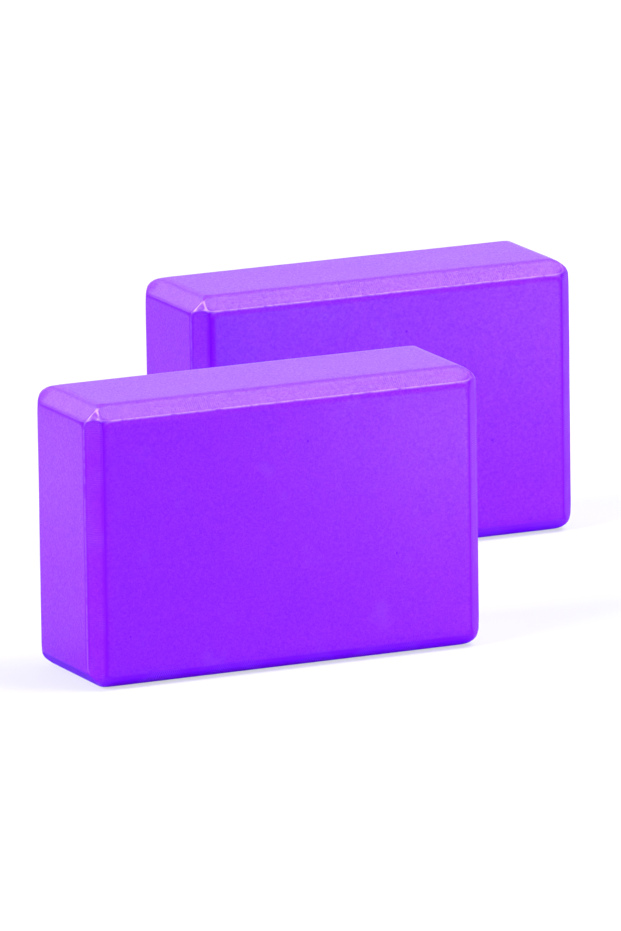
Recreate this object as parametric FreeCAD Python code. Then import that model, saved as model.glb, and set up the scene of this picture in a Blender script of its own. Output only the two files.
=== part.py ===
"""A pair of foam yoga blocks standing on their long narrow sides.

Millimetres. X runs along a block's length, Y through its thickness and Z up. The origin is on the floor,
under the middle of the pair.
"""

import FreeCAD, Part
import os

# Size of one block: nine by six by three inches
block_length = 228.6
block_height = 152.4
block_thickness = 76.2

# Legs of the 45 degree bevels, one for each direction that an edge runs in
long_edge_bevel = 7.5
cross_edge_bevel = 8.8
upright_edge_bevel = 7.8

# How far the tip of a corner is trimmed off: what is left of each mitre, along the length, thickness and height
mitre_left = 1.0

# Softening of every crease where two cut planes meet
crease_radius = 1.2

# How the rear block stands from the front one
pair_sideways_step = 165.0
pair_clear_floor = 150.0


def bevelled_rectangle(width, height, leg):
    """Corners of a rectangle centred on zero, with a 45 degree bevel across each of its corners."""
    u = width / 2
    v = height / 2
    return [
        (u - leg, -v),
        (u, -v + leg),
        (u, v - leg),
        (u - leg, v),
        (-u + leg, v),
        (-u, v - leg),
        (-u, -v + leg),
        (-u + leg, -v),
    ]


def bevelled_bar(corners, place, run):
    """A straight bar along the vector run, whose section's corners are set in space by place."""
    points = [place(u, v) for u, v in corners]
    outline = Part.makePolygon(points + points[:1])
    return Part.Face(outline).extrude(run)


def corner_trimmer(corner):
    """An eight-sided solid round the origin. Each of its sides trims the tip off one corner of a block."""
    # Where the trim crosses the three mitres of a corner, measured inwards from the corner
    left_mitre = FreeCAD.Vector(mitre_left, upright_edge_bevel - mitre_left, cross_edge_bevel - mitre_left)
    right_mitre = FreeCAD.Vector(upright_edge_bevel - mitre_left, mitre_left, long_edge_bevel - mitre_left)
    top_mitre = FreeCAD.Vector(cross_edge_bevel - mitre_left, long_edge_bevel - mitre_left, mitre_left)
    normal = (right_mitre - left_mitre).cross(top_mitre - left_mitre)
    reach = normal.dot(corner - left_mitre)
    sides = []
    for toward_x in (1, -1):
        for toward_y in (1, -1):
            for toward_z in (1, -1):
                points = [
                    FreeCAD.Vector(toward_x * reach / normal.x, 0, 0),
                    FreeCAD.Vector(0, toward_y * reach / normal.y, 0),
                    FreeCAD.Vector(0, 0, toward_z * reach / normal.z),
                ]
                sides.append(Part.Face(Part.makePolygon(points + points[:1])))
    return Part.makeSolid(Part.makeShell(sides))


def foam_block():
    """One block with its centre at the origin.

    Each of three bars has the four bevels that run along one axis. What the three have in common is the block:
    its bevels meet in a mitre at every corner, as they do behind a straight cutter, and the tip is trimmed off.
    """
    x = block_length / 2
    y = block_thickness / 2
    z = block_height / 2
    along_length = bevelled_bar(
        bevelled_rectangle(block_thickness, block_height, long_edge_bevel),
        lambda u, v: FreeCAD.Vector(-x, u, v),
        FreeCAD.Vector(block_length, 0, 0),
    )
    across_thickness = bevelled_bar(
        bevelled_rectangle(block_length, block_height, cross_edge_bevel),
        lambda u, v: FreeCAD.Vector(u, -y, v),
        FreeCAD.Vector(0, block_thickness, 0),
    )
    up_height = bevelled_bar(
        bevelled_rectangle(block_length, block_thickness, upright_edge_bevel),
        lambda u, v: FreeCAD.Vector(u, v, -z),
        FreeCAD.Vector(0, 0, block_height),
    )
    brick = along_length.common(across_thickness).common(up_height)
    brick = brick.common(corner_trimmer(FreeCAD.Vector(x, y, z))).removeSplitter().Solids[0]
    return brick.makeFillet(crease_radius, brick.Edges).Solids[0]


def standing_at(block, x, y):
    """The block moved so that it stands on the floor with its middle over the point x, y."""
    return block.translated(FreeCAD.Vector(x, y, block_height / 2))


half_step = pair_sideways_step / 2
half_spread = (pair_clear_floor + block_thickness) / 2
block = foam_block()
pieces = {
    "front_block": standing_at(block, -half_step, -half_spread),
    "rear_block": standing_at(block, half_step, half_spread),
}

os.makedirs("parts", exist_ok=True)
for name, shape in pieces.items():
    shape.exportStep(os.path.join("parts", name + ".step"))
    box = shape.BoundBox
    print(name, shape.ShapeType, "valid", shape.isValid(), "faces", len(shape.Faces))
    print("  volume %.0f mm3, box %.2f x %.2f x %.2f" % (shape.Volume, box.XLength, box.YLength, box.ZLength))
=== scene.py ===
"""Studio looks for a pair of foam yoga blocks, laid out as an add-on.

Metres throughout. X runs along a block's length, Y through its thickness and Z up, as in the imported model.
"""

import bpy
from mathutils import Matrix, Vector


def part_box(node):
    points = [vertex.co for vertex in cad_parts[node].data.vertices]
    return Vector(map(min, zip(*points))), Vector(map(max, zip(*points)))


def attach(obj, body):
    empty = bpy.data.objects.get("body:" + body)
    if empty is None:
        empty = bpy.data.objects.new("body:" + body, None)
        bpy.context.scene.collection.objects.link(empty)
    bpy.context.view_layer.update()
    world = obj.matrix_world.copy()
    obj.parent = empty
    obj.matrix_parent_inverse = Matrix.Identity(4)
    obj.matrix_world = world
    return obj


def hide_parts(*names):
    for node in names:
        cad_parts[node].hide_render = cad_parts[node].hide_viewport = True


bl_info = {
    "name": "Foam Yoga Blocks",
    "version": (1, 0, 0),
    "blender": (4, 5, 0),
    "location": "View3D > Sidebar > Yoga Blocks",
    "description": "Models a pair of bevelled foam yoga blocks and the studio that they stand in",
    "category": "Object",
}

import math

import bmesh
import bpy
from mathutils import Quaternion, Vector, noise

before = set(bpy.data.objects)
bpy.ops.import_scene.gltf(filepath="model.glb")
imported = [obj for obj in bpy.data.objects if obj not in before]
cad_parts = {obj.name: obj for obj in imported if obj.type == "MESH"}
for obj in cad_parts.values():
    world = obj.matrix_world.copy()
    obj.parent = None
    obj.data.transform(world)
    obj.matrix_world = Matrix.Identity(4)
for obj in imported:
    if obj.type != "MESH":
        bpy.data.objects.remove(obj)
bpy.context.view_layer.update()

AXES = (Vector((1, 0, 0)), Vector((0, 1, 0)), Vector((0, 0, 1)))

# Pieces, each with the name that its body and its node share
BLOCKS = {"foam_block_front": "front_block", "foam_block_rear": "rear_block"}

# How nearly a face or an edge has to lie along a direction to be picked for it
FACE_ALONG = 0.9999
EDGE_ALONG = 0.99

# Rings of faces beside a crease: how far they reach and how many there are. They lie closer near the crease.
RING_SPREAD = 1.6
LEAST_FACE_REACH = 0.003
FACE_RINGS = 8
BEVEL_REACH = 0.0025
BEVEL_RINGS = 6
FACET_REACH = 0.002
FACET_RINGS = 4

# Share of the groove's depth that it has on the side of a face
FACE_GROOVE = 0.25
# Height of the dome on the facet of a trimmed tip, and how far from the facet's sides it rises
FACET_DOME = 0.0005
FACET_DOME_WIDTH = 0.0022

# Edges that are cut again after the rings: those between two lengths, and the long ones along each axis
SHORT_EDGE = (0.0025, 0.012)
SHORT_EDGE_CUTS = 2
LONG_EDGE = 0.015
LONG_EDGE_CUTS = (24, 7, 16)

# How sharp the creases stay when the block is subdivided, and how near mirrored points are merged
CREASE_SHARPNESS = 0.5
MERGE_DISTANCE = 1e-5

# How strong the painted highlight along each kind of crease is, how strong the painted shade beside it is,
# and how deep the groove beside it is. A straight crease is named by the axis that its bevel runs along and
# the axis across its face.
CREASE_PAINT_AND_GROOVE = {
    (0, 1): (0.5, 0.0, 0.2),
    (0, 2): (0.0, 0.0, 0.1),
    (1, 0): (0.0, 0.8, 1.0),
    (1, 2): (0.0, 0.35, 0.4),
    (2, 0): (0.25, 1.0, 1.0),
    (2, 1): (0.0, 1.0, 1.0),
}
LONG_FACE_CREASE = (0, 1)
# The creases of the bevels by the floor are all alike in painted highlight, painted shade and groove.
LOW_CREASE_PAINT_AND_GROOVE = (0.0, 0.0, 0.2)
# A side of a trimmed corner tip is named by the axis that the bevel beside it runs along.
TRIM_PAINT_AND_GROOVE = ((1.0, 0.3, 1.0), (1.0, 0.5, 1.0), (0.1, 0.3, 0.3))
MITRE_PAINT_AND_GROOVE = (0.5, 0.3, 1.0)
# Painted highlight all over an upper tip
TIP_PAINTED_HIGHLIGHT = 0.3
# Share of the painted highlight of the tips that is left away from the front left corners
FAR_TIP_PAINTED_HIGHLIGHT = 0.25
# How strong the painted shade is all over a bevel: those by the floor, and the upright ones on the right
LOW_BEVEL_PAINTED_SHADE = 0.9
RIGHT_BEVEL_PAINTED_SHADE = 0.6

# How wide the painted highlight of a ridge and the painted shade are on each side of their crease
RIDGE_WIDTH = 0.0008
PAINTED_SHADE_WIDTH = 0.0018
# Length over which the painted highlight of a ridge on a face comes back beside the tip of a corner. It
# starts half of that away.
RIDGE_FADE = 0.004
# How much further than its noted distance a point's own crease may lie, and how far below a facet a point
# still counts as part of it
CREASE_SLACK = 0.0006
FACET_SLACK = 0.0001

# Band of even slope below the top edges of the front and the back: its width, how much its slope bends,
# and how far from the tip of a corner it is whole
BAND_WIDTH = 0.0032
BAND_BEND = 1.2
BAND_FADE = 0.012

# How far round the middle of a tip's facet the foam is relaxed and swells, and how often it is relaxed
TIP_REACH = 0.008
TIP_RELAXINGS = 2
# How far the foam swells out at the trimmed tips, on the left and on the right
FRONT_TIP_SWELL = (0.0002, 0.0009)
BACK_TIP_SWELL = (0.0012, 0.0012)

# Height above the floor from which the low places have their whole depth
FLAT_FOOT = 0.02

# Burst cells that show as pinholes in a block's front, from the middle of the block
PINHOLES = ((0.0103, -0.0381, 0.0454), (-0.0935, -0.0381, -0.0479), (0.0625, -0.0381, -0.0205))
# Depth of a pinhole and width of its rim, as shares of its width
PINHOLE_DEPTH = 0.5
PINHOLE_RIM = 0.2

# Shares of the foam's colour: in its patches, in its cells and where shade is painted
PATCH_SHADES = (0.96, 1.04)
CELL_SHADES = (0.7, 1.3)
PAINTED_SHADE_SHARE = 0.86
# How far the scuffed colour shows in smears and in the cutter's marks
SMEAR_STRENGTH = 0.03
MARK_STRENGTH = 0.05
# Sizes of the ragged places in a ridge, of the smears, and of the stretches where the cutter left marks
RAGGED_SIZE = 0.004
SMEAR_SIZE = 0.018
MARKED_SIZE = 0.03
# How far a mark of the cutter wavers, in radians of its wave, and the length of a waver
MARK_WAVER = 9.0
WAVER_SIZE = 0.006
# Relief of a cell and of a mark
CELL_RELIEF = 0.00003
MARK_RELIEF = 0.00012
# Coat and roughness of the darkest cells, and how much rougher the lightest ones are
LEAST_COAT = 0.3
LEAST_ROUGHNESS = 0.34
CELL_ROUGHNESS = 0.16
FOAM_SPECULAR = 0.05
COAT_IOR = 1.25
COAT_ROUGHNESS = 0.3

# Places of the colours among the sockets of a Mix node
MIX_COLOURS_IN = (6, 7)
MIX_COLOUR_OUT = 2

# Floor: its width, its colours in gloss and to the camera, and the glow that makes it white to the camera
FLOOR_WIDTH = 12.0
FLOOR_IN_GLOSS = (0.42, 0.42, 0.42)
FLOOR_TO_CAMERA = (0.32, 0.32, 0.32)
FLOOR_GLOW = (0.6, 0.6, 0.6)
NO_GLOW = (0.0, 0.0, 0.0)
# Strength of the room's light on surfaces, and where the room itself is seen
ROOM_FILL = 0.05
ROOM_WHITE = 1.0

# Distant soft lamps: the direction that each one shines from, its strength, and how wide it looks, in degrees
DISTANT_LAMPS = {
    "overhead_softbox": ((0.4, -0.18, 0.9), 2.5, 24),
    "rear_overhead_softbox": ((0.41, 0.4, 0.82), 0.7, 40),
    "left_softbox": ((-0.8, -0.1, 0.6), 2.95, 30),
    "back_softbox": ((-0.12, 0.85, 0.5), 0.78, 40),
    "front_softbox": ((0.41, -0.87, 0.27), 0.56, 33),
}
# Near soft lamps: the place of each one, the point that it is aimed at, its width, height and power in watts
NEAR_LAMPS = {
    "low_softbox_front": ((0.245, -0.51, 0.045), (0.039, -0.067, 0.02), 0.22, 0.08, 0.52),
    "low_softbox_rear": ((0.42, -0.28, 0.045), (0.214, 0.163, 0.045), 0.2, 0.08, 0.36),
    "low_softbox_left": ((-0.5, -0.15, 0.035), (-0.197, -0.113, 0.02), 0.12, 0.06, 0.12),
    "low_softbox_end": ((-0.34, 0.2, 0.045), (-0.197, -0.113, 0.045), 0.2, 0.08, 0.026),
}

# Point that the camera looks at, the longer side of its sensor in millimetres, and how far it sees
CAMERA_AIM = (0.00024, 0.0, 0.0722)
SENSOR_SIDE = 36.0
CAMERA_REACH = 100.0


class FoamBlockShape(bpy.types.PropertyGroup):
    """Sizes of the cut and relaxed edges of a block. Its length, height and thickness come from the frame."""

    long_edge_bevel: bpy.props.FloatProperty(
        name="Long Edge Bevel",
        description="Leg of the bevel on the edges that run along the block",
        default=0.0075,
        unit="LENGTH",
    )
    cross_edge_bevel: bpy.props.FloatProperty(
        name="Cross Edge Bevel",
        description="Leg of the bevel on the edges that run through the block's thickness",
        default=0.0088,
        unit="LENGTH",
    )
    upright_edge_bevel: bpy.props.FloatProperty(
        name="Upright Edge Bevel",
        description="Leg of the bevel on the edges that stand upright",
        default=0.0078,
        unit="LENGTH",
    )
    mitre_left: bpy.props.FloatProperty(
        name="Mitre Left",
        description="What the trimmed tip of a corner leaves of each mitre, along each axis",
        default=0.001,
        unit="LENGTH",
    )
    roll_width: bpy.props.FloatProperty(
        name="Roll Width",
        description="How far from a bevel the foam of a face starts to roll down to it",
        default=0.0045,
        unit="LENGTH",
    )
    roll_depth: bpy.props.FloatProperty(
        name="Roll Depth",
        description="How far a face has rolled down where it meets a bevel",
        default=0.00075,
        unit="LENGTH",
    )
    end_roll_width: bpy.props.FloatProperty(
        name="End Roll Width",
        description="How far from a bevel the foam of an end starts to roll down to it",
        default=0.0018,
        unit="LENGTH",
    )
    end_roll_depth: bpy.props.FloatProperty(
        name="End Roll Depth",
        description="How far an end has rolled down where it meets a bevel",
        default=0.00025,
        unit="LENGTH",
    )
    groove_width: bpy.props.FloatProperty(
        name="Groove Width",
        description="How far from a crease the fine groove beside it is deepest",
        default=0.0007,
        unit="LENGTH",
    )
    groove_depth: bpy.props.FloatProperty(
        name="Groove Depth",
        description="Depth of the fine groove beside a crease",
        default=0.00016,
        unit="LENGTH",
    )
    unevenness: bpy.props.FloatProperty(
        name="Unevenness",
        description="How far the foam sinks in at the low places of a face",
        default=0.0003,
        unit="LENGTH",
    )
    uneven_size: bpy.props.FloatProperty(
        name="Uneven Size",
        description="Distance from one low place of a face to the next",
        default=0.035,
        unit="LENGTH",
    )
    pinhole_width: bpy.props.FloatProperty(
        name="Pinhole Width",
        description="Width of the burst cells that show as pinholes",
        default=0.0011,
        unit="LENGTH",
    )


class FoamFinish(bpy.types.PropertyGroup):
    """Colour and texture of the foam."""

    foam_colour: bpy.props.FloatVectorProperty(
        name="Foam Colour",
        description="Colour of the dyed foam",
        subtype="COLOR",
        size=3,
        min=0.0,
        max=1.0,
        default=(0.21, 0.002, 1.0),
    )
    # The pale colour is also the painted highlight along the upper creases and tips.
    scuff_and_highlight_colour: bpy.props.FloatVectorProperty(
        name="Scuff Colour",
        description="Paler colour of the foam where a crease is rubbed and stretched",
        subtype="COLOR",
        size=3,
        min=0.0,
        max=1.0,
        default=(0.62, 0.34, 1.0),
    )
    cell_size: bpy.props.FloatProperty(
        name="Cell Size",
        description="Width of the closed cells that show as grain",
        default=0.0009,
        unit="LENGTH",
    )
    patch_size: bpy.props.FloatProperty(
        name="Patch Size",
        description="Width of the faint light and dark patches in the foam",
        default=0.025,
        unit="LENGTH",
    )
    cutter_step: bpy.props.FloatProperty(
        name="Cutter Step",
        description="From one mark of the cutter to the next along a bevel",
        default=0.0012,
        unit="LENGTH",
    )


class StudioStage(bpy.types.PropertyGroup):
    """Floor, light and camera."""

    floor_colour: bpy.props.FloatVectorProperty(
        name="Floor Colour",
        description="Colour of the paper floor",
        subtype="COLOR",
        size=3,
        min=0.0,
        max=1.0,
        default=(0.9, 0.9, 0.9),
    )
    camera_azimuth: bpy.props.FloatProperty(
        name="Camera Azimuth",
        description="How far round to the left of the blocks the camera stands",
        default=math.radians(24.86),
        unit="ROTATION",
        subtype="ANGLE",
    )
    camera_elevation: bpy.props.FloatProperty(
        name="Camera Elevation",
        description="How far the camera looks down",
        default=math.radians(12.51),
        unit="ROTATION",
        subtype="ANGLE",
    )
    camera_roll: bpy.props.FloatProperty(
        name="Camera Roll",
        description="Lean of the camera about its line of sight",
        default=math.radians(-0.774),
        unit="ROTATION",
        subtype="ANGLE",
    )
    camera_distance: bpy.props.FloatProperty(
        name="Camera Distance",
        description="From the camera to the point that it looks at",
        default=7.5387,
        unit="LENGTH",
    )
    camera_lens: bpy.props.FloatProperty(
        name="Camera Lens",
        description="Focal length in millimetres, on a sensor 36 mm high",
        default=541.35,
    )


def deselect_all():
    """Leave nothing selected, in object mode."""
    for thing in list(bpy.context.selected_objects):
        thing.select_set(False)
    bpy.context.view_layer.objects.active = None


def pick(kind, test):
    """In edit mode, select only the faces or the edges that pass the test."""
    bpy.ops.mesh.select_mode(type="FACE" if kind == "faces" else "EDGE")
    bpy.ops.mesh.select_all(action="DESELECT")
    mesh = bpy.context.edit_object.data
    cage = bmesh.from_edit_mesh(mesh)
    for item in getattr(cage, kind):
        if test(item):
            item.select_set(True)
    bmesh.update_edit_mesh(mesh)


def apply_modifier(piece, kind, **settings):
    """Add a modifier to the piece, set it and apply it."""
    bpy.ops.object.modifier_add(type=kind)
    modifier = piece.modifiers[-1]
    for name, value in settings.items():
        setattr(modifier, name, value)
    bpy.ops.object.modifier_apply(modifier=modifier.name)


def in_corner(place):
    """A place of the block, mirrored into the corner that is modelled."""
    return Vector(abs(number) for number in place)


def bevel_normal(run):
    """Outward normal of the corner's bevel that runs along an axis."""
    return sum((axis for i, axis in enumerate(AXES) if i != run), Vector()).normalized()


def face_places(half, shape):
    """How far the three faces of a corner stand from the middle before they are raised."""
    depth = shape.roll_depth
    return half - Vector((shape.end_roll_depth, depth, depth))


def bevel_planes(half, legs, faces):
    """For the bevel along each axis, the sum that the other two coordinates have all over its plane."""
    planes = []
    for run, leg in enumerate(legs):
        planes.append(half[(run + 1) % 3] - leg + faces[(run + 2) % 3])
    return planes


def mitre_points(faces, planes, left):
    """Where the trim of a corner's tip crosses the three mitres, by the axis that each one ends on."""
    points = []
    for axis in range(3):
        point = [0.0, 0.0, 0.0]
        point[axis] = faces[axis] - left
        for other in ((axis + 1) % 3, (axis + 2) % 3):
            point[other] = planes[3 - axis - other] - faces[axis] + left
        points.append(Vector(point))
    return points


def trim_normal(trim):
    """Outward normal of the facet that the trim leaves at a corner."""
    return (trim[1] - trim[0]).cross(trim[2] - trim[0]).normalized()


def facet_middle(trim):
    """Middle of the facet that the trim leaves at a corner."""
    return (trim[0] + trim[1] + trim[2]) / 3


def cut_corner(faces, planes, trim):
    """Add one eighth of a block, bevelled and trimmed, with its faces held back from their full place.

    It stays in edit mode, and is open on the three sides where it is mirrored.
    """
    bpy.ops.mesh.primitive_cube_add(size=1.0, location=faces / 2, scale=faces)
    bpy.ops.object.transform_apply(location=True, rotation=False, scale=True)
    bpy.ops.object.mode_set(mode="EDIT")
    cuts = [(AXES[(run + 1) % 3] * plane, bevel_normal(run)) for run, plane in enumerate(planes)]
    cuts.append((trim[0], trim_normal(trim)))
    for place, normal in cuts:
        bpy.ops.mesh.select_all(action="SELECT")
        bpy.ops.mesh.bisect(plane_co=place, plane_no=normal, use_fill=True, clear_outer=True)
    pick("faces", lambda face: min(face.normal) < -FACE_ALONG)
    bpy.ops.mesh.delete(type="ONLY_FACE")


def roll_height(distance, width, depth):
    """Height of a face at a distance from its crease, where the foam rolls down to it."""
    return -depth * max(0.0, 1 - distance / width) ** 2


def groove_height(distance, width, depth):
    """Height of the fine groove at a distance from a crease. It is deepest one width away."""
    share = distance / width
    return -depth * share * math.exp(1 - share)


def mark_points(layer, value):
    """Write a number or a vector on the selected points, in the named layer."""
    mesh = bpy.context.edit_object.data
    cage = bmesh.from_edit_mesh(mesh)
    layers = cage.verts.layers
    kind = layers.float_vector if isinstance(value, Vector) else layers.float
    written = kind[layer]
    for point in cage.verts:
        if point.select:
            point[written] = value
    bmesh.update_edit_mesh(mesh)


def ring_edge(outward, reach, rings, height, cutter_way):
    """Inset what is selected ring by ring from its creases, and set each ring at its height."""
    inward = 0.0
    raised = height(0.0)
    for ring in range(1, rings + 1):
        distance = reach * (ring / rings) ** RING_SPREAD
        bpy.ops.mesh.inset(thickness=distance - inward, use_boundary=False, use_even_offset=True)
        bpy.ops.transform.translate(value=outward * (height(distance) - raised))
        mark_points("crease_distance", distance)
        mark_points("cutter_way", cutter_way)
        inward = distance
        raised = height(distance)


def roll_face(axis, shape):
    """Raise the face across an axis to its full place, rolled down to its bevels."""
    pick("faces", lambda face: face.normal.dot(axis) > FACE_ALONG)
    width = shape.end_roll_width if axis.x else shape.roll_width
    depth = shape.end_roll_depth if axis.x else shape.roll_depth

    def height(distance):
        groove = groove_height(distance, shape.groove_width, shape.groove_depth * FACE_GROOVE)
        return roll_height(distance, width, depth) + groove

    ring_edge(axis, max(width, LEAST_FACE_REACH), FACE_RINGS, height, Vector())


def groove_bevel(run, shape):
    """Sink a fine groove round a bevel, and split what is left along its middle."""
    normal = bevel_normal(run)
    pick("faces", lambda face: face.normal.dot(normal) > FACE_ALONG)

    def height(distance):
        return groove_height(distance, shape.groove_width, shape.groove_depth)

    ring_edge(normal, BEVEL_REACH, BEVEL_RINGS, height, AXES[run])
    cage = bmesh.from_edit_mesh(bpy.context.edit_object.data)
    apex = max((v.co.copy() for v in cage.verts if v.select), key=lambda point: point[run])
    across = normal.cross(AXES[run])
    bpy.ops.mesh.bisect(plane_co=apex, plane_no=across)


def soften_facet(trim):
    """Inset the facet of a trimmed corner, and raise its middle into a low dome."""
    normal = trim_normal(trim)
    pick("faces", lambda face: face.normal.dot(normal) > FACE_ALONG)

    def height(distance):
        return FACET_DOME * (1 - max(0.0, 1 - distance / FACET_DOME_WIDTH) ** 2)

    ring_edge(normal, FACET_REACH, FACET_RINGS, height, Vector())


def nearest_crease(corner, reach, faces, planes):
    """The straight crease within reach of a place in the corner, by its bevel's axis and its face's axis."""
    found = None
    for run, across in CREASE_PAINT_AND_GROOVE:
        other = 3 - run - across
        gap = math.hypot(corner[across] - faces[across], corner[other] + faces[across] - planes[run])
        if gap < reach:
            reach = gap
            found = (run, across)
    return found


def nearest_side(corner, reach, trim):
    """The side of the trimmed tip within reach of a place in the corner, by its bevel's axis."""
    found = None
    for run in range(3):
        start = trim[(run + 1) % 3]
        side = trim[(run + 2) % 3] - start
        share = min(1.0, max(0.0, (corner - start).dot(side) / side.length_squared))
        gap = (corner - start - side * share).length
        if gap < reach:
            reach = gap
            found = run
    return found


def tip_share(place):
    """Share of the painted highlight of the tips that the corner round a place has."""
    return 1.0 if place.x < 0 and place.y < 0 else FAR_TIP_PAINTED_HIGHLIGHT


def crease_paint_and_groove(place, distance, faces, planes, trim):
    """How strong the painted highlight and the painted shade are, and how deep the groove is, at the crease
    that lies at the distance from the place.
    """
    corner = in_corner(place)
    low = place.z < 0
    found = nearest_crease(corner, distance + CREASE_SLACK, faces, planes)
    if found is not None:
        return LOW_CREASE_PAINT_AND_GROOVE if low and found[0] != 2 else CREASE_PAINT_AND_GROOVE[found]
    side = nearest_side(corner, distance + CREASE_SLACK, trim)
    highlight, painted_shade, grooved = MITRE_PAINT_AND_GROOVE if side is None else TRIM_PAINT_AND_GROOVE[side]
    return (0.0, painted_shade / 2, grooved) if low else (highlight * tip_share(place), painted_shade, grooved)


def ridge_strength(place, distance, highlight, on_bevel, trim):
    """How much painted highlight a point has: as its crease has, all over an upper tip, and less on a face by
    a tip.
    """
    corner = in_corner(place)
    ridge = highlight * max(0.0, 1 - distance / RIDGE_WIDTH)
    if place.z > 0 and (corner - trim[0]).dot(trim_normal(trim)) > -FACET_SLACK:
        return max(ridge, TIP_PAINTED_HIGHLIGHT * tip_share(place))
    if on_bevel:
        return ridge
    return ridge * min(1.0, max(0.0, (corner - trim[1]).length / RIDGE_FADE - 0.5))


def bevel_painted_shade(place, way):
    """How strong the painted shade is on the bevel that runs along the way at a place, away from its creases.
    """
    if way.z:
        return RIGHT_BEVEL_PAINTED_SHADE if place.x > 0 else 0.0
    return LOW_BEVEL_PAINTED_SHADE if place.z < 0 else 0.0


def below_top_edge(place, distance, faces, planes):
    """Whether a point of a face lies nearest to the long crease at the top of the front or the back."""
    found = nearest_crease(in_corner(place), distance + CREASE_SLACK, faces, planes)
    return place.z > 0 and found == LONG_FACE_CREASE


def flatten_roll(vertex, distance, trim, shape):
    """Change the roll below a face's top crease into a band of even slope."""
    fade = min(1.0, (in_corner(vertex.co) - trim[1]).length / BAND_FADE)
    band = -shape.roll_depth * max(0.0, 1 - distance / BAND_WIDTH) ** BAND_BEND
    move = fade * (band - roll_height(distance, shape.roll_width, shape.roll_depth))
    vertex.co.y += math.copysign(1.0, vertex.co.y) * move


def fill_groove(vertex, way, distance, grooved, shape):
    """Raise a point of a bevel where the groove has only a share of its depth."""
    sides = zip(way, vertex.co)
    outward = Vector(0.0 if along else math.copysign(1.0, number) for along, number in sides)
    filled = (grooved - 1) * groove_height(distance, shape.groove_width, shape.groove_depth)
    vertex.co += outward.normalized() * filled


def shape_and_paint_creases(block, faces, planes, trim, shape):
    """Shape the foam beside the creases by how deep their grooves are, and note how much painted highlight
    and painted shade every point has.
    """
    layers = block.data.attributes
    for index, vertex in enumerate(block.data.vertices):
        distance = layers["crease_distance"].data[index].value
        way = layers["cutter_way"].data[index].vector
        highlight, painted_shade, grooved = crease_paint_and_groove(vertex.co, distance, faces, planes, trim)
        ridge = ridge_strength(vertex.co, distance, highlight, way.length > 0, trim)
        # Painted shade beside the crease, and all over the low bevels and the right upright bevels
        groove = painted_shade * max(0.0, 1 - (distance / PAINTED_SHADE_WIDTH) ** 2)
        if way.length:
            groove = max(groove, bevel_painted_shade(vertex.co, way))
            fill_groove(vertex, way, distance, grooved, shape)
        elif below_top_edge(vertex.co, distance, faces, planes):
            flatten_roll(vertex, distance, trim, shape)
        layers["ridge"].data[index].value = ridge
        layers["groove"].data[index].value = groove * (1 - ridge)


def relax_tips(trim):
    """Smooth the points round the trimmed tips of the corners."""
    middle = facet_middle(trim)
    bpy.ops.object.mode_set(mode="EDIT")
    bpy.ops.mesh.select_mode(type="VERT")
    bpy.ops.mesh.select_all(action="DESELECT")
    mesh = bpy.context.edit_object.data
    for point in bmesh.from_edit_mesh(mesh).verts:
        point.select_set((in_corner(point.co) - middle).length < TIP_REACH)
    bmesh.update_edit_mesh(mesh)
    bpy.ops.mesh.vertices_smooth(factor=0.5, repeat=TIP_RELAXINGS)
    bpy.ops.object.mode_set(mode="OBJECT")


def swell_tips(block, trim):
    """Round the trimmed tips of the corners by swelling the foam out."""
    normal = trim_normal(trim)
    middle = facet_middle(trim)
    for vertex in block.data.vertices:
        share = max(0.0, 1 - ((in_corner(vertex.co) - middle).length / TIP_REACH) ** 2) ** 2
        swell = (BACK_TIP_SWELL if vertex.co.y > 0 else FRONT_TIP_SWELL)[vertex.co.x > 0]
        outward = Vector(math.copysign(part, number) for part, number in zip(normal, vertex.co))
        vertex.co += outward * swell * share


def divide_edges(test, cuts):
    """Cut every edge that passes the test into equal lengths."""
    pick("edges", test)
    bpy.ops.mesh.subdivide(number_cuts=cuts)


def runs_along(axis, shortest):
    """A test for edges along an axis that are longer than the shortest one."""

    def test(edge):
        way = edge.verts[1].co - edge.verts[0].co
        return way.length > shortest and abs(way.normalized().dot(axis)) > EDGE_ALONG

    return test


def sink_low_places(block, shape):
    """Press the foam in here and there, and leave the side that it stands on flat."""
    vertices = block.data.vertices
    floor = min(vertex.co.z for vertex in vertices)
    normals = [vertex.normal.copy() for vertex in vertices]
    for vertex, normal in zip(vertices, normals):
        share = (1 + noise.noise(vertex.co / shape.uneven_size)) / 2
        free = min(1.0, (vertex.co.z - floor) / FLAT_FOOT)
        vertex.co -= normal * shape.unevenness * share * free


def sink_pinhole(place, shape):
    """In edit mode, sink a small hole where the foam is nearest to the place."""
    cage = bmesh.from_edit_mesh(bpy.context.edit_object.data)
    nearest = min(cage.faces, key=lambda face: (face.calc_center_median() - place).length)
    inward = nearest.normal * -PINHOLE_DEPTH * shape.pinhole_width
    margin = (math.sqrt(nearest.calc_area()) - shape.pinhole_width) / 2
    chosen = nearest.index
    pick("faces", lambda face: face.index == chosen)
    bpy.ops.mesh.inset(thickness=margin)
    bpy.ops.mesh.inset(thickness=shape.pinhole_width * PINHOLE_RIM)
    bpy.ops.transform.translate(value=inward)
    # The hole is given the whole painted shade, darker than the foam round it.
    mark_points("groove", 1.0)


def sink_pinholes(shape):
    """Sink the burst cells into a block's front."""
    bpy.ops.object.mode_set(mode="EDIT")
    for place in PINHOLES:
        sink_pinhole(Vector(place), shape)
    bpy.ops.object.mode_set(mode="OBJECT")


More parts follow.
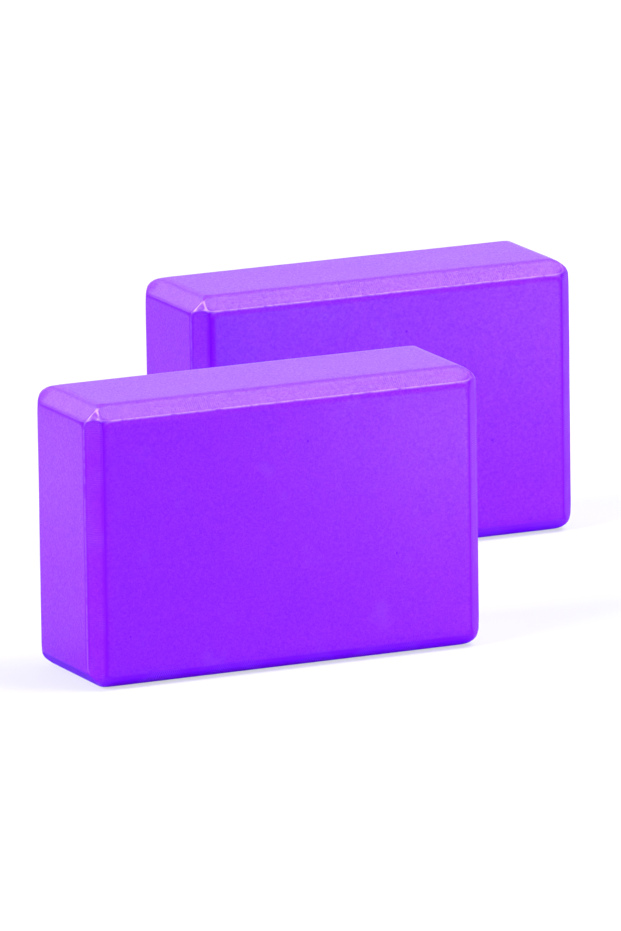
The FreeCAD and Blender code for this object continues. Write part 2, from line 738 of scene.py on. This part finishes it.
def model_corner(faces, planes, trim, shape):
    """Model one eighth of a block. Its points note how far their crease is and how their bevel runs."""
    cut_corner(faces, planes, trim)
    for layer in ("crease_distance", "ridge", "groove"):
        bpy.ops.geometry.attribute_add(name=layer, domain="POINT", data_type="FLOAT")
    bpy.ops.geometry.attribute_add(name="cutter_way", domain="POINT", data_type="FLOAT_VECTOR")
    pick("edges", lambda edge: len(edge.link_faces) == 2)
    bpy.ops.transform.edge_crease(value=CREASE_SHARPNESS)
    for run in range(3):
        groove_bevel(run, shape)
    soften_facet(trim)
    for axis in AXES:
        roll_face(axis, shape)
    shortest, longest = SHORT_EDGE
    divide_edges(lambda edge: shortest < edge.calc_length() < longest, SHORT_EDGE_CUTS)
    for axis, cuts in zip(AXES, LONG_EDGE_CUTS):
        divide_edges(runs_along(axis, LONG_EDGE), cuts)
    bpy.ops.object.mode_set(mode="OBJECT")
    return bpy.context.object


def mirror_corner(corner):
    """Mirror a corner across its three open sides into a whole block, with its faces outwards."""
    apply_modifier(corner, "MIRROR", use_axis=(True, True, True), merge_threshold=MERGE_DISTANCE)
    bpy.ops.object.mode_set(mode="EDIT")
    bpy.ops.mesh.select_all(action="SELECT")
    bpy.ops.mesh.normals_make_consistent(inside=False)
    bpy.ops.object.mode_set(mode="OBJECT")


def foam_block(name, node, shape):
    """Model one block where its node is."""
    low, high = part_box(node)
    half = (high - low) / 2
    legs = (shape.long_edge_bevel, shape.cross_edge_bevel, shape.upright_edge_bevel)
    faces = face_places(half, shape)
    planes = bevel_planes(half, legs, faces)
    trim = mitre_points(faces, planes, shape.mitre_left)
    deselect_all()
    block = model_corner(faces, planes, trim, shape)
    block.name = name
    block.data.name = name
    mirror_corner(block)
    shape_and_paint_creases(block, faces, planes, trim, shape)
    relax_tips(trim)
    swell_tips(block, trim)
    apply_modifier(block, "SUBSURF", levels=1, render_levels=1)
    sink_low_places(block, shape)
    sink_pinholes(shape)
    bpy.ops.object.shade_smooth()
    block.location = (low + high) / 2
    bpy.ops.object.transform_apply(location=True, rotation=False, scale=False)
    return block


def new_group(name, inputs, outputs):
    """A shader node group with named sockets, numbers on the way out, and its own input and output nodes."""
    group = bpy.data.node_groups.new(name, "ShaderNodeTree")
    for socket, kind, value in inputs:
        made = group.interface.new_socket(socket, in_out="INPUT", socket_type=kind)
        if value is not None:
            made.default_value = value
    for socket in outputs:
        group.interface.new_socket(socket, in_out="OUTPUT", socket_type="NodeSocketFloat")
    return group, group.nodes.new("NodeGroupInput"), group.nodes.new("NodeGroupOutput")


def feed(tree, value, socket):
    """Link a socket to another one, or set a number or a colour there."""
    if isinstance(value, bpy.types.NodeSocket):
        tree.links.new(value, socket)
    elif isinstance(value, (int, float)):
        socket.default_value = value
    else:
        socket.default_value = (*value, 1.0)


def add_math(tree, operation, first, second):
    """A Math node whose two terms are sockets or numbers. Returns its result."""
    node = tree.nodes.new("ShaderNodeMath")
    node.operation = operation
    feed(tree, first, node.inputs[0])
    feed(tree, second, node.inputs[1])
    return node.outputs[0]


def add_texture(tree, kind, place, size, detail=None):
    """A Noise or Voronoi texture whose features have the given size, a socket or a number."""
    texture = tree.nodes.new(kind)
    tree.links.new(place, texture.inputs["Vector"])
    if isinstance(size, float):
        texture.inputs["Scale"].default_value = 1 / size
    else:
        tree.links.new(add_math(tree, "DIVIDE", 1.0, size), texture.inputs["Scale"])
    if detail is not None:
        texture.inputs["Detail"].default_value = detail
    return texture


def add_noise(tree, place, size, detail):
    """A Noise texture whose features have the given size. Returns its value."""
    return add_texture(tree, "ShaderNodeTexNoise", place, size, detail).outputs["Fac"]


def add_ramp(tree, value, start, end):
    """A smooth mask that goes from zero to one while the value goes from start to end."""
    node = tree.nodes.new("ShaderNodeMapRange")
    node.interpolation_type = "SMOOTHSTEP"
    node.inputs["From Min"].default_value = start
    node.inputs["From Max"].default_value = end
    tree.links.new(value, node.inputs["Value"])
    return node.outputs["Result"]


def add_mix(tree, factor, first, second):
    """A mix of two colours, each a socket or three numbers."""
    node = tree.nodes.new("ShaderNodeMix")
    node.data_type = "RGBA"
    feed(tree, factor, node.inputs["Factor"])
    for place, colour in zip(MIX_COLOURS_IN, (first, second)):
        feed(tree, colour, node.inputs[place])
    return node.outputs[MIX_COLOUR_OUT]


def foam_grain_group():
    """Closed cells of the foam: their relief in cell sizes, and how light each one is."""
    group, given, made = new_group(
        "foam grain",
        (("Vector", "NodeSocketVector", None), ("Cell Size", "NodeSocketFloat", 0.001)),
        ("Height", "Fleck"),
    )
    place = given.outputs["Vector"]
    size = given.outputs["Cell Size"]
    cells = add_texture(group, "ShaderNodeTexVoronoi", place, size)
    dome = add_math(group, "SUBTRACT", 1.0, cells.outputs["Distance"])
    cell_shade = group.nodes.new("ShaderNodeSeparateColor")
    group.links.new(cells.outputs["Color"], cell_shade.inputs["Color"])
    fleck = add_ramp(group, add_noise(group, place, size, detail=2.0), start=0.3, end=0.7)
    both = add_math(group, "ADD", fleck, cell_shade.outputs["Red"])
    group.links.new(add_math(group, "ADD", dome, fleck), made.inputs["Height"])
    group.links.new(add_math(group, "MULTIPLY", both, 0.5), made.inputs["Fleck"])
    return group


def add_attribute(tree, name):
    """The named number or vector that the piece's points carry."""
    node = tree.nodes.new("ShaderNodeAttribute")
    node.attribute_name = name
    return node


def add_cutter_marks(tree, place, step):
    """Fine marks across the bevels, here stronger and there weaker, from zero to one."""
    way = add_attribute(tree, "cutter_way")
    along = tree.nodes.new("ShaderNodeVectorMath")
    along.operation = "DOT_PRODUCT"
    tree.links.new(place, along.inputs[0])
    tree.links.new(way.outputs["Vector"], along.inputs[1])
    on_bevel = tree.nodes.new("ShaderNodeVectorMath")
    on_bevel.operation = "LENGTH"
    tree.links.new(way.outputs["Vector"], on_bevel.inputs[0])
    waver = add_math(tree, "MULTIPLY", add_noise(tree, place, WAVER_SIZE, detail=1.0), MARK_WAVER)
    turns = add_math(tree, "MULTIPLY", along.outputs["Value"], math.tau / step)
    turns = add_math(tree, "ADD", turns, waver)
    wave = add_math(tree, "ADD", add_math(tree, "MULTIPLY", add_math(tree, "SINE", turns, 0.0), 0.5), 0.5)
    strength = add_ramp(tree, add_noise(tree, place, MARKED_SIZE, detail=2.0), start=0.42, end=0.62)
    strength = add_math(tree, "MULTIPLY", strength, on_bevel.outputs["Value"])
    return add_math(tree, "MULTIPLY", wave, strength)


def add_highlight_and_scuffs(tree, place, marks):
    """Mask of the pale colour: painted highlight along the upper creases and tips, and the scuffs of smears
    and the cutter's marks.
    """
    ragged = add_ramp(tree, add_noise(tree, place, RAGGED_SIZE, detail=3.0), start=0.2, end=0.6)
    ridge = add_math(tree, "MULTIPLY", add_attribute(tree, "ridge").outputs["Fac"], ragged)
    smears = add_ramp(tree, add_noise(tree, place, SMEAR_SIZE, detail=8.0), start=0.6, end=0.8)
    smear = add_math(tree, "MULTIPLY", smears, SMEAR_STRENGTH)
    cut = add_math(tree, "MULTIPLY", marks, MARK_STRENGTH)
    return add_math(tree, "MAXIMUM", add_math(tree, "MAXIMUM", ridge, smear), cut)


def add_foam_colour(tree, place, fleck, groove, highlight_and_scuffs, finish):
    """Colour of the foam in its patches and cells, with painted shade by the creases, and pale with painted
    highlight and scuffs.
    """
    foam = Vector(finish.foam_colour)
    patches = add_ramp(tree, add_noise(tree, place, finish.patch_size, detail=4.0), start=0.3, end=0.7)
    patched = add_mix(tree, patches, foam * PATCH_SHADES[0], foam * PATCH_SHADES[1])
    grained = add_mix(tree, fleck, foam * CELL_SHADES[0], foam * CELL_SHADES[1])
    mixed = add_mix(tree, 0.5, patched, grained)
    # Painted shade by the creases, in the pinholes and on the low and right bevels
    painted_shade = add_mix(tree, groove, mixed, foam * PAINTED_SHADE_SHARE)
    # Pale: painted highlight on the upper creases and tips, and scuffs in smears and the cutter's marks
    return add_mix(tree, highlight_and_scuffs, painted_shade, finish.scuff_and_highlight_colour)


def add_relief(tree, height, marks):
    """Bumped normal of the foam's cells and of the cutter's marks."""
    cells = add_math(tree, "MULTIPLY", height, CELL_RELIEF)
    bump = tree.nodes.new("ShaderNodeBump")
    bump.inputs["Distance"].default_value = 1.0
    relief = add_math(tree, "ADD", cells, add_math(tree, "MULTIPLY", marks, MARK_RELIEF))
    tree.links.new(relief, bump.inputs["Height"])
    return bump.outputs["Normal"]


def foam_material(finish):
    """Dyed foam with closed cells, painted highlight on its upper creases, painted shade by its creases and
    the marks of the cutter on its bevels.
    """
    material = bpy.data.materials.new("purple_foam")
    material.use_nodes = True
    tree = material.node_tree
    shader = tree.nodes["Principled BSDF"]
    place = tree.nodes.new("ShaderNodeTexCoord").outputs["Object"]
    grain = tree.nodes.new("ShaderNodeGroup")
    grain.node_tree = foam_grain_group()
    grain.inputs["Cell Size"].default_value = finish.cell_size
    tree.links.new(place, grain.inputs["Vector"])
    fleck = grain.outputs["Fleck"]
    groove = add_attribute(tree, "groove").outputs["Fac"]
    marks = add_cutter_marks(tree, place, finish.cutter_step)
    highlight_and_scuffs = add_highlight_and_scuffs(tree, place, marks)
    tree.links.new(add_foam_colour(tree, place, fleck, groove, highlight_and_scuffs, finish), shader.inputs["Base Color"])
    tree.links.new(add_relief(tree, grain.outputs["Height"], marks), shader.inputs["Normal"])

    # Where shade is painted, the coat is taken away as well
    outside_painted_shade = add_math(tree, "SUBTRACT", 1.0, groove)
    gloss = add_math(tree, "ADD", LEAST_COAT, fleck)
    tree.links.new(add_math(tree, "MULTIPLY", gloss, outside_painted_shade), shader.inputs["Coat Weight"])
    rough = add_math(tree, "ADD", LEAST_ROUGHNESS, add_math(tree, "MULTIPLY", fleck, CELL_ROUGHNESS))
    tree.links.new(rough, shader.inputs["Roughness"])
    shader.inputs["Specular IOR Level"].default_value = FOAM_SPECULAR
    shader.inputs["Coat IOR"].default_value = COAT_IOR
    shader.inputs["Coat Roughness"].default_value = COAT_ROUGHNESS
    return material


class YOGA_OT_foam_blocks(bpy.types.Operator):
    """Model the two foam blocks, give them their finish and set them on the frame"""

    bl_idname = "yoga.foam_blocks"
    bl_label = "Foam Blocks"

    def execute(self, context):
        material = foam_material(context.scene.foam_finish)
        for name, node in BLOCKS.items():
            block = foam_block(name, node, context.scene.foam_block_shape)
            block.data.materials.append(material)
            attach(block, node)
            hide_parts(node)
        return {"FINISHED"}


def seen_directly(tree):
    """A mask that is one for the rays that show a surface: from the camera, in gloss or through glass."""
    path = tree.nodes.new("ShaderNodeLightPath")
    seen = add_math(tree, "MAXIMUM", path.outputs["Is Camera Ray"], path.outputs["Is Glossy Ray"])
    return add_math(tree, "MAXIMUM", seen, path.outputs["Is Transmission Ray"])


def add_floor(stage):
    """A wide paper floor that shows white where it is lit, and keeps a soft shadow of the blocks."""
    deselect_all()
    bpy.ops.mesh.primitive_plane_add(size=FLOOR_WIDTH)
    floor = bpy.context.object
    floor.name = "studio_floor"
    material = bpy.data.materials.new("paper_floor")
    material.use_nodes = True
    tree = material.node_tree
    shader = tree.nodes["Principled BSDF"]
    shader.inputs["Roughness"].default_value = 1.0
    shader.inputs["Specular IOR Level"].default_value = 0.0
    path = tree.nodes.new("ShaderNodeLightPath")
    by_camera = path.outputs["Is Camera Ray"]
    in_gloss = add_mix(tree, path.outputs["Is Glossy Ray"], stage.floor_colour, FLOOR_IN_GLOSS)
    tree.links.new(add_mix(tree, by_camera, in_gloss, FLOOR_TO_CAMERA), shader.inputs["Base Color"])
    tree.links.new(add_mix(tree, by_camera, NO_GLOW, FLOOR_GLOW), shader.inputs["Emission Color"])
    shader.inputs["Emission Strength"].default_value = 1.0
    floor.data.materials.append(material)


def add_world():
    """Soft light from all round, which shows as white."""
    world = bpy.data.worlds.new("studio_room")
    bpy.context.scene.world = world
    world.use_nodes = True
    tree = world.node_tree
    light = tree.nodes["Background"]
    level = tree.nodes.new("ShaderNodeMix")
    level.inputs["A"].default_value = ROOM_FILL
    level.inputs["B"].default_value = ROOM_WHITE
    tree.links.new(seen_directly(tree), level.inputs["Factor"])
    light.inputs["Color"].default_value = (1.0, 1.0, 1.0, 1.0)
    tree.links.new(level.outputs[0], light.inputs["Strength"])


def add_distant_lamp(name, towards, strength, angle):
    """A soft distant light that shines from the given direction."""
    bpy.ops.object.light_add(type="SUN")
    lamp = bpy.context.object
    lamp.name = name
    lamp.rotation_mode = "QUATERNION"
    lamp.rotation_quaternion = Vector(towards).to_track_quat("Z", "Y")
    lamp.data.energy = strength
    lamp.data.angle = math.radians(angle)


def add_near_lamp(name, place, aim, width, height, power):
    """A soft light at a place in the room, turned to the point that it is aimed at."""
    bpy.ops.object.light_add(type="AREA", location=place)
    lamp = bpy.context.object
    lamp.name = name
    lamp.rotation_mode = "QUATERNION"
    lamp.rotation_quaternion = (Vector(place) - Vector(aim)).to_track_quat("Z", "Y")
    lamp.data.shape = "RECTANGLE"
    lamp.data.size = width
    lamp.data.size_y = height
    lamp.data.energy = power
    lamp.visible_camera = False


def add_camera(stage):
    """A long lens that looks at the middle of the pair."""
    azimuth = stage.camera_azimuth
    elevation = stage.camera_elevation
    towards = Vector((
        -math.sin(azimuth) * math.cos(elevation),
        -math.cos(azimuth) * math.cos(elevation),
        math.sin(elevation),
    ))
    bpy.ops.object.camera_add(location=Vector(CAMERA_AIM) + towards * stage.camera_distance)
    camera = bpy.context.object
    camera.name = "studio_camera"
    camera.rotation_mode = "QUATERNION"
    lean = Quaternion((0, 0, 1), stage.camera_roll)
    camera.rotation_quaternion = towards.to_track_quat("Z", "Y") @ lean
    camera.data.sensor_fit = "AUTO"
    camera.data.sensor_width = SENSOR_SIDE
    camera.data.lens = stage.camera_lens
    camera.data.clip_end = CAMERA_REACH
    bpy.context.scene.camera = camera


class YOGA_OT_studio_stage(bpy.types.Operator):
    """Set the floor, the soft light and the camera round the blocks"""

    bl_idname = "yoga.studio_stage"
    bl_label = "Studio Stage"

    def execute(self, context):
        stage = context.scene.studio_stage
        add_floor(stage)
        add_world()
        deselect_all()
        for name, settings in DISTANT_LAMPS.items():
            add_distant_lamp(name, *settings)
        for name, settings in NEAR_LAMPS.items():
            add_near_lamp(name, *settings)
        add_camera(stage)
        context.scene.view_settings.view_transform = "Standard"
        return {"FINISHED"}


class YOGA_PT_blocks(bpy.types.Panel):
    """The yoga block tools in the sidebar"""

    bl_label = "Yoga Blocks"
    bl_idname = "YOGA_PT_blocks"
    bl_space_type = "VIEW_3D"
    bl_region_type = "UI"
    bl_category = "Yoga Blocks"

    def draw(self, context):
        for operator in OPERATORS:
            self.layout.operator(operator.bl_idname)


OPERATORS = (YOGA_OT_foam_blocks, YOGA_OT_studio_stage)
SETTINGS = {
    "foam_block_shape": FoamBlockShape,
    "foam_finish": FoamFinish,
    "studio_stage": StudioStage,
}


def register():
    for group in SETTINGS.values():
        bpy.utils.register_class(group)
    for name, group in SETTINGS.items():
        setattr(bpy.types.Scene, name, bpy.props.PointerProperty(type=group))
    for operator in OPERATORS:
        bpy.utils.register_class(operator)
    bpy.utils.register_class(YOGA_PT_blocks)


def unregister():
    bpy.utils.unregister_class(YOGA_PT_blocks)
    for operator in reversed(OPERATORS):
        bpy.utils.unregister_class(operator)
    for name, group in SETTINGS.items():
        delattr(bpy.types.Scene, name)
        bpy.utils.unregister_class(group)


def main():
    register()
    bpy.ops.yoga.foam_blocks()
    bpy.ops.yoga.studio_stage()


if __name__ == "__main__":
    main()
